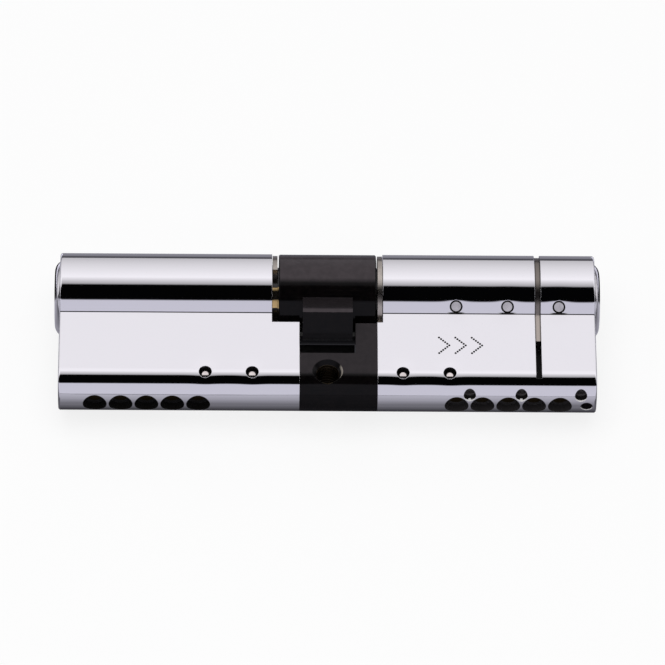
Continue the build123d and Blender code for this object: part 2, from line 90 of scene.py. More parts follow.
FLOOR_Z = CAD_BOX[0].z
LEG_UNDER_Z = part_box("bridge")[0].z
FIXING_Y = next(m for m in frame["record"]["mounts"] if m["name"] == "fixing_screw")["pos_m"][1]

# Places on the lock that its finishes refer to, in millimetres
OUTSIDE_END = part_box("outside_body")[1].x / MM
BARREL_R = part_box("outside_body")[1].y / MM
LEG_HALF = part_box("bridge")[1].z / MM
FOOT_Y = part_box("bridge")[0].y / MM
SEAM_Y = -sqrt(BARREL_R**2 - LEG_HALF**2)
LAST_CHAMBER = middle(f"outside_key_pin_{STACK_COUNT}").x / MM
FIRST_CHAMBER = middle("outside_key_pin_1").x / MM
CHAMBER_PITCH = (LAST_CHAMBER - FIRST_CHAMBER) / (STACK_COUNT - 1)
MOUTH_R = 2.215
DOWEL_R = 1.15
DOWEL_XS = (
    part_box("outside_dowel_pins")[0].x / MM + DOWEL_R,
    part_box("outside_dowel_pins")[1].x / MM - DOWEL_R,
)
DRILL_TURN = radians(44.5)
FOOT_PIN_R = 1.05
FOOT_PINS = (
    (FIRST_CHAMBER + CHAMBER_PITCH / 2, 2.5),
    (FIRST_CHAMBER + CHAMBER_PITCH * 5 / 2, 2.5),
    (OUTSIDE_END - 2.95, 2.5),
    (OUTSIDE_END - 1.85, 0.0),
)
SNAP_X = OUTSIDE_END - 10.75
SNAP_HALF = 0.58
SNAP_FADE_Y = -12.85
SNAP_END_Y = -21.6
MARKS_MIDDLE = (25.25, -14.2)
MARKS_HALF = (5.2, 2.3)
TAP_R = 2.1
SCREW_MOUTH_R = 2.85
TONGUE_R = 14.3
TONGUE_TURN = radians(33.0)
# Tilt towards the back of the painted top light and dust on the black finish
TOP_LIGHT_TILT = radians(15.0)
CLIP_GAP = (8.6, 10.6)
# Arcs of the inside plug left out of the painted gap shade, in degrees from straight up towards the
# leg
UNSHADED_ARCS = ((14.0, 21.0), (37.0, 53.0))


# Settings


def colour_setting(name, description, default):
    """Colour that a user may change."""
    return FloatVectorProperty(
        name=name, description=description, subtype="COLOR", size=3, min=0.0, max=1.0, default=default
    )


def share_setting(name, description, default):
    """Amount from 0 to 1 that a user may change."""
    return FloatProperty(
        name=name, description=description, subtype="FACTOR", min=0.0, max=1.0, default=default
    )


def distance_setting(name, description, default):
    """Distance in metres that a user may change."""
    return FloatProperty(
        name=name, description=description, subtype="DISTANCE", unit="LENGTH", default=default
    )


def angle_setting(name, description, degrees):
    """Angle that a user may change, given in degrees."""
    return FloatProperty(
        name=name, description=description, subtype="ANGLE", unit="ROTATION", default=radians(degrees)
    )


class LockFinish(bpy.types.PropertyGroup):
    """Colours and gloss of the lock's metals."""

    chrome: colour_setting("Chrome", "Plated skin of both halves", (0.900, 0.893, 0.906))
    chrome_roughness: share_setting("Chrome roughness", "Gloss of the plated skin", 0.045)
    haze: colour_setting("Haze", "Buffing hairlines in the plated skin", (0.70, 0.69, 0.70))
    bare_alloy: colour_setting("Bare alloy", "Unplated floor of the snap groove", (0.47, 0.42, 0.37))
    # Shade tone: painted shade in holes, slots and inner corners of the chrome; five times lighter,
    # painted light inside the mouths and holes
    shade_tone: colour_setting("Recess", "Dull, thinly plated metal inside holes", (0.022, 0.020, 0.021))
    # painted black shade in slots, mouths, holes and on pin rims, and the real black of the peened
    # marks and of polish in corners
    soot_and_shade: colour_setting("Soot", "Blackened slots, mouths and marks", (0.0035, 0.0028, 0.0025))
    black: colour_setting("Black", "Black finish of the cam and the bridge", (0.0012, 0.0010, 0.0012))
    # brown dust and painted top light on the black finish where it faces up
    dust: colour_setting(
        "Dust", "Brown dust on the black finish where it faces up", (0.0480, 0.0395, 0.0440)
    )
    worn_black: colour_setting(
        "Worn black", "Rubbed edges and lines of the black finish", (0.018, 0.016, 0.0155)
    )
    black_roughness: share_setting("Black roughness", "Gloss of the black finish", 0.1)
    nickel: colour_setting("Nickel", "Plated heads of the plugs", (0.80, 0.79, 0.80))
    brass: colour_setting("Brass", "Bare brass of plugs, key pins and stoppers", (0.80, 0.57, 0.25))
    steel: colour_setting("Steel", "Ground hardened pins", (0.74, 0.72, 0.70))
    dowel: colour_setting("Dowel", "Domed dowel ends", (0.88, 0.81, 0.77))
    spring: colour_setting("Spring steel", "Circlips and spring wire", (0.52, 0.48, 0.425))
    sinter: colour_setting("Sintered steel", "Clutch couplers", (0.24, 0.23, 0.22))
    oiled: colour_setting(
        "Oiled thread", "Brown oiled wall of the fixing hole", (0.085, 0.066, 0.042)
    )
    # painted shade in the gap beside the circlips
    grease: colour_setting("Grease", "Dark grease beside the circlips", (0.010, 0.008, 0.006))


class LockDetail(bpy.types.PropertyGroup):
    """Sizes of the wound and threaded pieces."""

    spring_radius: distance_setting("Spring radius", "Middle of the wire of a pin spring", 1.12 * MM)
    spring_wire: distance_setting("Spring wire", "Radius of a pin spring's wire", 0.17 * MM)
    spring_turns: IntProperty(
        name="Spring turns", description="Turns of a pin spring", min=1, default=8,
    )
    clutch_radius: distance_setting(
        "Clutch spring radius", "Middle of the clutch spring's wire", 2.4 * MM
    )
    clutch_wire: distance_setting(
        "Clutch spring wire", "Radius of the clutch spring's wire", 0.22 * MM
    )
    clutch_turns: IntProperty(
        name="Clutch spring turns", description="Turns of the clutch spring", min=1, default=2,
    )
    thread_pitch: distance_setting("Thread pitch", "Pitch of the M5 fixing thread", 0.8 * MM)
    thread_wall: distance_setting(
        "Thread wall", "Radius of the wall that the thread stands on", 2.1 * MM
    )
    thread_height: distance_setting(
        "Thread height", "How far the thread's crest stands off the wall", 0.14 * MM
    )
    thread_turns: IntProperty(
        name="Thread turns", description="Turns of thread in the hole", min=1, default=10,
    )


class LockStage(bpy.types.PropertyGroup):
    """Camera, floor and lights."""

    elevation: angle_setting("Camera elevation", "Height of the camera above the floor's plane", 53.2)
    azimuth: angle_setting(
        "Camera azimuth", "Turn of the camera round the lock, to the right positive", -1.25
    )
    roll: angle_setting("Camera roll", "Turn of the camera about its view", 1.34)
    distance: distance_setting("Camera distance", "From the camera to the aimed point", 1.3)
    frame_width: distance_setting("Frame width", "Width of the view at the aimed point", 0.1249)
    aim_right: distance_setting("Aim right", "Aimed point to the right of the origin", 1.17 * MM)
    aim_down: distance_setting("Aim down", "Aimed point below the origin in the view", 6.10 * MM)
    floor: colour_setting("Floor", "Colour of the floor", (0.93, 0.93, 0.935))
    tent_radius: distance_setting("Tent radius", "Radius of the light tent", 0.8)
    tent_length: distance_setting("Tent length", "Length of the light tent along the lock", 1.6)
    lamp_power: FloatProperty(
        name="Lamp power", description="Power of the soft lamp", unit="POWER", default=3.8,
    )
    room_light: share_setting("Room light", "Strength of the white room as light on the lock", 0.5)
    lamp_size: distance_setting("Lamp size", "Side of the soft lamp", 0.7)


# Node helpers


def node(tree, kind, inputs=None, **settings):
    """Add a node, set its options and fill its sockets with values or links."""
    made = tree.nodes.new(kind)
    for key, value in settings.items():
        setattr(made, key, value)
    for key, value in (inputs or {}).items():
        if isinstance(value, bpy.types.NodeSocket):
            tree.links.new(value, made.inputs[key])
        else:
            made.inputs[key].default_value = value
    return made


def calc(tree, operation, first, second=0.0, clamp=False):
    """Result of a Math node."""
    made = node(tree, "ShaderNodeMath", {0: first, 1: second}, operation=operation, use_clamp=clamp)
    return made.outputs[0]


def scaled(tree, value, gain, offset):
    """Value times a gain, plus an offset."""
    made = node(tree, "ShaderNodeMath", {0: value, 1: gain, 2: offset}, operation="MULTIPLY_ADD")
    return made.outputs[0]


def minus(tree, first, second):
    """First value less the second."""
    return calc(tree, "SUBTRACT", first, second)


def times(tree, first, second, clamp=False):
    """Product of two values."""
    return calc(tree, "MULTIPLY", first, second, clamp)


def unsigned(tree, value):
    """Value without its sign."""
    return calc(tree, "ABSOLUTE", value)


def under(tree, value, limit):
    """Mask of where a value is less than a limit."""
    return calc(tree, "LESS_THAN", value, limit)


def over(tree, value, limit):
    """Mask of where a value is more than a limit."""
    return calc(tree, "GREATER_THAN", value, limit)


def beyond(tree, mask):
    """Mask of everything outside a mask."""
    return calc(tree, "SUBTRACT", 1.0, mask)


def either(tree, *masks):
    """Mask of where any mask is."""
    return reduce(lambda first, second: calc(tree, "MAXIMUM", first, second), masks)


def length(tree, first, second):
    """Length of the long side of a right triangle."""
    squares = calc(tree, "ADD", times(tree, first, first), times(tree, second, second))
    return calc(tree, "SQRT", squares)


def within(tree, value, centre, half):
    """Mask of where a value is less than half a width from a centre."""
    return under(tree, unsigned(tree, minus(tree, value, centre)), half)


def every(tree, *masks):
    """Mask of where all masks meet."""
    return reduce(lambda first, second: times(tree, first, second), masks)


def fade(tree, value, low, high):
    """Smooth step of a value, 0 at low and 1 at high."""
    made = node(
        tree,
        "ShaderNodeMapRange",
        {"Value": value, "From Min": low, "From Max": high, "To Min": 0.0, "To Max": 1.0},
        interpolation_type="SMOOTHSTEP",
    )
    return made.outputs["Result"]


def blend(tree, factor, first, second):
    """Colour mixed between two colours or links."""
    made = node(tree, "ShaderNodeMix", data_type="RGBA")
    for index, value in ((0, factor), (6, first), (7, second)):
        if isinstance(value, bpy.types.NodeSocket):
            tree.links.new(value, made.inputs[index])
        elif index:
            made.inputs[index].default_value = (*value[:3], 1.0)
        else:
            made.inputs[index].default_value = value
    return made.outputs[2]


def toned(colour, gain):
    """Colour made darker or lighter."""
    return tuple(part * gain for part in colour)


def millimetres(tree):
    """Object coordinates in millimetres."""
    place = node(tree, "ShaderNodeTexCoord").outputs["Object"]
    return node(
        tree, "ShaderNodeVectorMath", {0: place, "Scale": 1.0 / MM}, operation="SCALE"
    ).outputs[0]


def axes(tree):
    """Object coordinates along X, Y and Z, in millimetres."""
    return node(tree, "ShaderNodeSeparateXYZ", {0: millimetres(tree)}).outputs


def new_group(name, inputs, outputs):
    """Empty shader group with float inputs and the named outputs, and its two end nodes."""
    tree = bpy.data.node_groups.new(name, "ShaderNodeTree")
    for label, value in inputs.items():
        socket = tree.interface.new_socket(label, in_out="INPUT", socket_type="NodeSocketFloat")
        socket.default_value = value
    for label, kind in outputs.items():
        tree.interface.new_socket(label, in_out="OUTPUT", socket_type=kind)
    return tree, tree.nodes.new("NodeGroupInput").outputs, tree.nodes.new("NodeGroupOutput").inputs


def polish_lines():
    """Hairlines that buffing leaves along the lock."""
    tree, given, out = new_group(
        "polish_lines",
        {"Scale": 7.0, "Share": 0.3},
        {"Mask": "NodeSocketFloat"},
    )
    stretched = node(
        tree, "ShaderNodeMapping", {"Vector": millimetres(tree), "Scale": (0.05, 1.0, 1.0)}
    )
    noise = node(
        tree,
        "ShaderNodeTexNoise",
        {"Vector": stretched.outputs[0], "Scale": given["Scale"], "Detail": 4.0, "Roughness": 0.65},
    )
    edge = minus(tree, 0.8, times(tree, given["Share"], 0.6))
    mask = times(tree, minus(tree, noise.outputs[0], edge), 7.0, clamp=True)
    tree.links.new(mask, out["Mask"])
    return tree


def soft_ripple():
    """Gentle waviness of a hand-buffed face."""
    tree, given, out = new_group("soft_ripple", {"Scale": 0.16}, {"Height": "NodeSocketFloat"})
    noise = node(
        tree,
        "ShaderNodeTexNoise",
        {"Vector": millimetres(tree), "Scale": given["Scale"], "Detail": 1.5, "Roughness": 0.45},
    )
    tree.links.new(noise.outputs[0], out["Height"])
    return tree


def metal_grain():
    """Fine grain of a matt or cast metal, as a height and a mottled mask."""
    tree, given, out = new_group(
        "metal_grain",
        {"Scale": 14.0},
        {"Height": "NodeSocketFloat", "Mottle": "NodeSocketFloat"},
    )
    place = millimetres(tree)
    fine = node(
        tree,
        "ShaderNodeTexNoise",
        {"Vector": place, "Scale": given["Scale"], "Detail": 3.0, "Roughness": 0.6},
    )
    broad = node(
        tree,
        "ShaderNodeTexNoise",
        {"Vector": place, "Scale": times(tree, given["Scale"], 0.05), "Detail": 3.0},
    )
    tree.links.new(fine.outputs[0], out["Height"])
    tree.links.new(fade(tree, broad.outputs[0], 0.3, 0.7), out["Mottle"])
    return tree


def soft_edges():
    """Normal that rolls over a piece's edges, and a mask of where it does."""
    tree, given, out = new_group(
        "soft_edges",
        {"Radius": 0.1 * MM},
        {"Normal": "NodeSocketVector", "Edge": "NodeSocketFloat"},
    )
    rolled = node(tree, "ShaderNodeBevel", {"Radius": given["Radius"]}, samples=6).outputs[0]
    flat = node(tree, "ShaderNodeNewGeometry").outputs["Normal"]
    match = node(tree, "ShaderNodeVectorMath", {0: rolled, 1: flat}, operation="DOT_PRODUCT")
    tree.links.new(rolled, out["Normal"])
    tree.links.new(fade(tree, match.outputs["Value"], 0.995, 0.9), out["Edge"])
    return tree


def hollow_shade():
    """Mask of holes, slots and inner corners of a piece, from ambient occlusion, where shade is
    painted.
    """
    tree, given, out = new_group(
        "hollow_shade",
        {"Reach": 1.6 * MM, "Open": 0.62, "Shut": 0.3},
        {"Mask": "NodeSocketFloat"},
    )
    shade = node(
        tree, "ShaderNodeAmbientOcclusion", {"Distance": given["Reach"]}, samples=8, only_local=True
    )
    span_low = minus(tree, given["Open"], shade.outputs["AO"])
    span_all = minus(tree, given["Open"], given["Shut"])
    tree.links.new(calc(tree, "DIVIDE", span_low, span_all, clamp=True), out["Mask"])
    return tree


GROUP_MAKERS = {
    "polish_lines": polish_lines,
    "soft_ripple": soft_ripple,
    "metal_grain": metal_grain,
    "soft_edges": soft_edges,
    "hollow_shade": hollow_shade,
}


def effect(tree, name, **inputs):
    """Place a shared effect in a material and return its outputs."""
    made = node(tree, "ShaderNodeGroup")
    made.node_tree = bpy.data.node_groups.get(name) or GROUP_MAKERS[name]()
    for label, value in inputs.items():
        made.inputs[label].default_value = value
    return made.outputs


def new_finish(name, kind="ShaderNodeBsdfPrincipled"):
    """Material with a single shader; returns the material, its tree and the shader."""
    material = bpy.data.materials.new(name)
    material.use_nodes = True
    tree = material.node_tree
    tree.nodes.clear()
    shader = tree.nodes.new(kind)
    output = tree.nodes.new("ShaderNodeOutputMaterial")
    tree.links.new(shader.outputs[0], output.inputs["Surface"])
    return material, tree, shader


def bump(tree, shader, height, distance, normal=None):
    """Feed a height to the shader's normal."""
    inputs = {"Height": height, "Distance": distance, "Strength": 1.0}
    if normal is not None:
        inputs["Normal"] = normal
    made = node(tree, "ShaderNodeBump", inputs)
    tree.links.new(made.outputs[0], shader.inputs["Normal"])


def paint(names, material):
    """Give a finish to CAD nodes."""
    for name in names:
        slots = NODES[name].material_slots
        if not slots:
            raise RuntimeError(f"{name} has no material slot")
        for place in slots:
            place.material = material


# Finishes


# Depths, fits and rims that the finishes follow, in millimetres
CUT_DEPTH = 0.1
MOUTH_DEPTH = 5.0
MARK_MIDDLE_DEPTH = 0.1
MARK_HALF_DEPTH = 0.092
DOWEL_FIT = 0.07
FOOT_PIN_FIT = 0.09
FOOT_PIN_DEPTH = 4.0
GLINT_HEIGHT = 0.42
END_GLINT_HEIGHT = 0.24
WEB_HALF = 0.22
WEB_HEIGHT = 0.75
DISH_REACH = 2.0
DISH_DEPTH = 0.095
PLATED_LENGTH = 1.8
DOWEL_RIM_R = DOWEL_R * 0.97
DRILL_RIM_R = 0.88


def chrome_finish(look):
    """Bright plated skin: bare alloy in the snap groove, black marks, painted black shade in slots,
    mouths and holes, painted shade in hollows and corners, and painted light and highlights in the
    foot's holes.
    """
    material, tree, shader = new_finish("bright_chrome")
    x, y, z = axes(tree)
    along = unsigned(tree, x)
    across = unsigned(tree, z)
    lines = effect(tree, "polish_lines")["Mask"]
    hollow_shade_mask = effect(tree, "hollow_shade")["Mask"]
    edges = effect(tree, "soft_edges", Radius=0.12 * MM)
    ripple = effect(tree, "soft_ripple")["Height"]
    # snap groove: bare at its shallow floor, painted black shade in the deep slot below
    under_barrel = under(tree, length(tree, y, z), BARREL_R - CUT_DEPTH)
    on_leg = within(tree, y, (SNAP_END_Y + SEAM_Y) / 2, (SEAM_Y - SNAP_END_Y) / 2)
    under_flat = every(tree, under(tree, across, LEG_HALF - CUT_DEPTH), on_leg)
    in_groove = within(tree, x, SNAP_X, SNAP_HALF)
    groove = every(tree, in_groove, either(tree, under_barrel, under_flat))
    shallow = over(tree, y, SNAP_FADE_Y)
    bare = every(tree, groove, shallow)
    slot = every(tree, groove, beyond(tree, shallow))
    # mouths of the pin chambers, painted black for the shade in them
    step = calc(tree, "PINGPONG", minus(tree, along, LAST_CHAMBER), CHAMBER_PITCH / 2)
    in_mouth = under(tree, length(tree, step, z), MOUTH_R)
    in_row = within(tree, along, (FIRST_CHAMBER + LAST_CHAMBER) / 2, STACK_COUNT * CHAMBER_PITCH / 2)
    mouth = every(tree, in_mouth, in_row, under(tree, y, FOOT_Y + MOUTH_DEPTH))
    # peened marks, a painted shade line along the corner between barrel and flat, and polish left in
    # that corner by the pins
    marked_x = within(tree, x, MARKS_MIDDLE[0], MARKS_HALF[0])
    marked_y = within(tree, y, MARKS_MIDDLE[1], MARKS_HALF[1])
    sunk = within(tree, z, LEG_HALF - MARK_MIDDLE_DEPTH, MARK_HALF_DEPTH)
    mark = every(tree, marked_x, marked_y, sunk)
    seam_shade = every(tree, within(tree, y, SEAM_Y, 0.1), within(tree, across, LEG_HALF, 0.1))
    pin_step = calc(tree, "PINGPONG", minus(tree, x, LAST_CHAMBER), CHAMBER_PITCH)
    outer = over(tree, x, LAST_CHAMBER - 5 * CHAMBER_PITCH)
    by_pin = times(tree, outer, fade(tree, pin_step, 1.9, 0.9))
    corner = every(tree, within(tree, y, SEAM_Y + 0.1, 0.22), within(tree, z, LEG_HALF + 0.05, 0.2))
    dirt = every(tree, corner, by_pin)
    # walls of the dowel holes, painted black as shade, and the dishes round them
    black_shade_and_marks = [mark, slot, mouth, dirt]
    dishes = []
    for dowel_x in DOWEL_XS:
        away = length(tree, minus(tree, along, dowel_x), minus(tree, y, FIXING_Y / MM))
        wall = under(tree, away, DOWEL_R + DOWEL_FIT)
        black_shade_and_marks.append(every(tree, wall, under(tree, across, LEG_HALF - 0.02)))
        dishes.append(dish(tree, away))
    # mouths and small holes in the foot: painted grey light in the mouths' lower half and deep in the
    # small holes, painted black shade on the small holes' walls, and a painted highlight at each small
    # hole's lower edge and on the web between them
    lit = every(tree, mouth, fade(tree, z, 0.8, -1.2), over(tree, x, 0.0), 0.2)
    painted_light = [lit]
    glints = []
    inside = fade(tree, y, FOOT_Y + 1.25, FOOT_Y + 1.7)
    for pin_x, pin_z in FOOT_PINS:
        aside = minus(tree, x, pin_x)
        above = minus(tree, z, pin_z)
        wall = under(tree, length(tree, aside, above), FOOT_PIN_R + FOOT_PIN_FIT)
        wall = every(tree, wall, under(tree, y, FOOT_Y + FOOT_PIN_DEPTH))
        low_side = every(tree, wall, under(tree, above, -0.2))
        height = GLINT_HEIGHT if pin_z else END_GLINT_HEIGHT
        glints.append(every(tree, low_side, under(tree, y, FOOT_Y + height)))
        if pin_x < LAST_CHAMBER:
            web = within(tree, aside, 0.0, WEB_HALF)
            glints.append(every(tree, low_side, web, under(tree, y, FOOT_Y + WEB_HEIGHT)))
        painted_light.append(every(tree, wall, inside))
        black_shade_and_marks.append(wall)
    dark = either(tree, *black_shade_and_marks)
    cut = either(tree, dark, bare)
    # painted shade: hollows and inner corners darkened to the shade tone by ambient occlusion, away
    # from the cut places
    shaded = every(tree, hollow_shade_mask, beyond(tree, cut))
    skin = blend(tree, times(tree, lines, 0.12), look.chrome, look.haze)
    skin = blend(tree, times(tree, seam_shade, 0.95), skin, look.shade_tone)
    skin = blend(tree, shaded, skin, look.shade_tone)
    # groove's floor: darker on the barrel than on the flat, with painted shade towards its walls
    darker_alloy = toned(look.bare_alloy, 0.5)
    on_barrel = fade(tree, y, SEAM_Y - 0.2, SEAM_Y + 0.4)
    wall_shade = fade(tree, unsigned(tree, minus(tree, x, SNAP_X)), 0.22, 0.5)
    alloy = blend(tree, on_barrel, look.bare_alloy, darker_alloy)
    skin = blend(tree, bare, skin, blend(tree, times(tree, wall_shade, 0.75), alloy, look.shade_tone))
    skin = blend(tree, dark, skin, look.soot_and_shade)
    skin = blend(tree, either(tree, *painted_light), skin, toned(look.shade_tone, 5.0))
    skin = blend(tree, either(tree, *glints), skin, look.haze)
    tree.links.new(skin, shader.inputs["Base Color"])
    worn = scaled(tree, lines, 0.05, look.chrome_roughness)
    for mask, level in ((shaded, 0.35), (bare, 0.26), (dark, 0.6)):
        worn = either(tree, worn, times(tree, mask, level))
    tree.links.new(worn, shader.inputs["Roughness"])
    tree.links.new(beyond(tree, dark), shader.inputs["Metallic"])
    # buffing rounds the skin off towards the dowels and the ground pins
    hollow = times(tree, ripple, 0.009)
    for hole_dish in dishes:
        hollow = minus(tree, hollow, hole_dish)
    pin_y = calc(tree, "ADD", y, BARREL_R * sin(DRILL_TURN))
    pin_z = minus(tree, z, BARREL_R * cos(DRILL_TURN))
    round_pin = dish(tree, length(tree, pin_step, length(tree, pin_y, pin_z)))
    hollow = minus(tree, hollow, times(tree, round_pin, outer))
    bump(tree, shader, hollow, 1.0 * MM, edges["Normal"])
    return material


def dish(tree, distance):
    """Depth in millimetres of a buffed hollow at a distance from its middle."""
    reach = calc(tree, "DIVIDE", distance, DISH_REACH)
    fall = calc(tree, "EXPONENT", times(tree, times(tree, reach, reach), -1.0))
    return times(tree, fall, DISH_DEPTH)


def black_finish(look):
    """Gloss black finish with a brown cast, dust and painted top light where it faces up, a painted
    highlight on the countersink's lip, and oiled brown in the fixing hole.
    """
    material, tree, shader = new_finish("gloss_black")
    x, y, z = axes(tree)
    grain = effect(tree, "metal_grain", Scale=16.0)
    edges = effect(tree, "soft_edges", Radius=0.14 * MM)
    lines = effect(tree, "polish_lines", Scale=5.0, Share=0.4)["Mask"]
    across = unsigned(tree, z)
    drop = minus(tree, y, FIXING_Y / MM)
    away = length(tree, x, drop)
    in_hole = under(tree, away, TAP_R + 0.03)
    cone = within(tree, minus(tree, across, away), LEG_HALF - SCREW_MOUTH_R, 0.04)
    sunk = either(tree, in_hole, cone)
    warm = tuple(part * gain for part, gain in zip(look.black, (2.0, 1.7, 1.5)))
    skin = blend(tree, grain["Mottle"], look.black, warm)
    # brown dust and painted top light on what faces up and back, most on the ring and on the tongue's
    # tip band
    facing = node(tree, "ShaderNodeTexCoord").outputs["Normal"]
    upward = node(
        tree, "ShaderNodeVectorMath", {0: facing, 1: (0.0, sin(TOP_LIGHT_TILT), cos(TOP_LIGHT_TILT))},
        operation="DOT_PRODUCT",
    ).outputs["Value"]
    dusted_and_lit = every(tree, fade(tree, upward, 0.86, 0.93), beyond(tree, sunk))
    dusty = scaled(tree, grain["Mottle"], 0.2, 0.8)
    ring = under(tree, length(tree, y, z), BARREL_R)
    on_bridge = under(tree, z, LEG_HALF + 0.05)
    lift = times(tree, z, sin(TONGUE_TURN))
    reach = minus(tree, lift, times(tree, y, cos(TONGUE_TURN)))
    tip = every(tree, within(tree, reach, TONGUE_R - 0.3, 0.55), beyond(tree, on_bridge))
    share = either(tree, ring, times(tree, on_bridge, 0.42), tip, 0.3)
    skin = blend(tree, every(tree, dusted_and_lit, dusty, share), skin, look.dust)
    skin = blend(tree, times(tree, lines, 0.15), skin, look.worn_black)
    skin = blend(tree, times(tree, edges["Edge"], 0.25), skin, look.worn_black)
    # painted highlight in bare alloy on the lower right lip of the countersink
    lower_right = minus(tree, x, times(tree, drop, 0.6))
    outer = fade(tree, away, SCREW_MOUTH_R - 0.38, SCREW_MOUTH_R - 0.22)
    lip_glint = every(tree, cone, outer, fade(tree, lower_right, 1.2, 2.0))
    skin = blend(tree, times(tree, lip_glint, 0.45), skin, look.bare_alloy)
    tree.links.new(blend(tree, in_hole, skin, look.oiled), shader.inputs["Base Color"])
    rough = scaled(tree, grain["Mottle"], 0.05, look.black_roughness)
    rough = either(tree, rough, times(tree, sunk, 0.3))
    tree.links.new(rough, shader.inputs["Roughness"])
    tree.links.new(times(tree, in_hole, 0.9), shader.inputs["Metallic"])
    shader.inputs["IOR"].default_value = 1.25
    bump(tree, shader, grain["Height"], 8e-7, edges["Normal"])
    return material


def metal_finish(name, colour, roughness, grain_scale=14.0, grain_depth=1e-6, edge=0.06, shade_amount=0.5):
    """Turned or drawn metal with grain, softened edges and painted shade in its recesses."""
    material, tree, shader = new_finish(name)
    grain = effect(tree, "metal_grain", Scale=grain_scale)
    edges = effect(tree, "soft_edges", Radius=edge * MM)
    hollow_shade_mask = effect(tree, "hollow_shade", Reach=0.8 * MM)["Mask"]
    dark = toned(colour, 0.82)
    shade = toned(colour, 0.3)
    skin = blend(tree, grain["Mottle"], colour, dark)
    tree.links.new(blend(tree, times(tree, hollow_shade_mask, shade_amount), skin, shade), shader.inputs["Base Color"])
    rough = scaled(tree, grain["Mottle"], 0.08, roughness)
    tree.links.new(either(tree, rough, times(tree, hollow_shade_mask, 0.4)), shader.inputs["Roughness"])
    shader.inputs["Metallic"].default_value = 1.0
    bump(tree, shader, grain["Height"], grain_depth, edges["Normal"])
    return material


def dowel_distance(tree):
    """Distance in millimetres from the axis of the nearest dowel."""
    x, y = axes(tree)[:2]
    along = unsigned(tree, x)
    away_x = calc(tree, "PINGPONG", minus(tree, along, DOWEL_XS[0]), DOWEL_XS[1] - DOWEL_XS[0])
    half = (DOWEL_XS[1] - DOWEL_XS[0]) / 2
    away_x = calc(tree, "PINGPONG", away_x, half)
    return length(tree, away_x, minus(tree, y, FIXING_Y / MM))


def drill_distance(tree):
    """Distance in millimetres from the axis of the nearest ground pin."""
    x, y, z = axes(tree)
    away_x = calc(tree, "PINGPONG", minus(tree, x, LAST_CHAMBER), CHAMBER_PITCH)
    lift = times(tree, z, sin(DRILL_TURN))
    return length(tree, away_x, scaled(tree, y, cos(DRILL_TURN), lift))


def shade_rim(material, distance, reach, soot_and_shade):
    """Paint black shade on a pin beyond a distance from its axis."""
    tree = material.node_tree
    shader = next(made for made in tree.nodes if made.type == "BSDF_PRINCIPLED")
    colour = shader.inputs["Base Color"].links[0].from_socket
    rim = fade(tree, distance(tree), reach - 0.04, reach + 0.04)
    tree.links.new(blend(tree, rim, colour, soot_and_shade), shader.inputs["Base Color"])
    tree.links.new(beyond(tree, rim), shader.inputs["Metallic"])


def plug_finish(look):
    """Brass plug whose head is nickel plated and turned in fine rings, with painted shade in its
    hollows and in the gap beside the cam.
    """
    material, tree, shader = new_finish("plated_plug")
    x, y, z = axes(tree)
    along = unsigned(tree, x)
    grain = effect(tree, "metal_grain", Scale=10.0)
    edges = effect(tree, "soft_edges", Radius=0.1 * MM)
    hollow_shade_mask = effect(tree, "hollow_shade", Reach=1.5 * MM)["Mask"]
    plated = over(tree, along, OUTSIDE_END - PLATED_LENGTH)
    rings = calc(tree, "SINE", times(tree, length(tree, y, z), 38.0))
    dull_brass = toned(look.brass, 0.75)
    bare = blend(tree, grain["Mottle"], look.brass, dull_brass)
    dull_nickel = toned(look.nickel, 0.88)
    head = blend(tree, grain["Mottle"], look.nickel, dull_nickel)
    # painted shade in the gap beside the cam, left out in two arcs on the inside plug
    turn = calc(tree, "ARCTAN2", times(tree, y, -1.0), z)
    arcs = [
        within(tree, turn, radians(start + end) / 2, radians(end - start) / 2)
        for start, end in UNSHADED_ARCS
    ]
    unshaded = every(tree, either(tree, *arcs), under(tree, x, 0.0))
    gap = within(tree, along, sum(CLIP_GAP) / 2, (CLIP_GAP[1] - CLIP_GAP[0]) / 2)
    gap_shaded = every(tree, gap, beyond(tree, unshaded))
    hollow_shade_mask = every(tree, hollow_shade_mask, beyond(tree, gap))
    shade = toned(look.brass, 0.25)
    skin = blend(tree, plated, bare, head)
    skin = blend(tree, times(tree, hollow_shade_mask, 0.8), skin, shade)
    tree.links.new(blend(tree, gap_shaded, skin, look.grease), shader.inputs["Base Color"])
    rough = scaled(tree, grain["Mottle"], 0.06, 0.13)
    rough = either(tree, rough, times(tree, hollow_shade_mask, 0.4))
    tree.links.new(rough, shader.inputs["Roughness"])
    tree.links.new(beyond(tree, gap_shaded), shader.inputs["Metallic"])
    bump(tree, shader, calc(tree, "ADD", rings, grain["Height"]), 4e-7, edges["Normal"])
    return material


# Modelling helpers


# How far the thread's root goes into the wall, and its half width as a share of the pitch
THREAD_ROOT = 0.03 * MM
THREAD_FLANK = 0.42


def leave_all():
    """Leave edit mode and deselect everything."""
    if bpy.context.mode != "OBJECT":
        bpy.ops.object.mode_set(mode="OBJECT")
    bpy.ops.object.select_all(action="DESELECT")


def settle(turn, place):
    """Turn and move the active object, with its place put into its mesh."""
    piece = bpy.context.object
    piece.rotation_euler = turn
    piece.location = place
    bpy.ops.object.transform_apply(location=True, rotation=True, scale=True)
    return piece


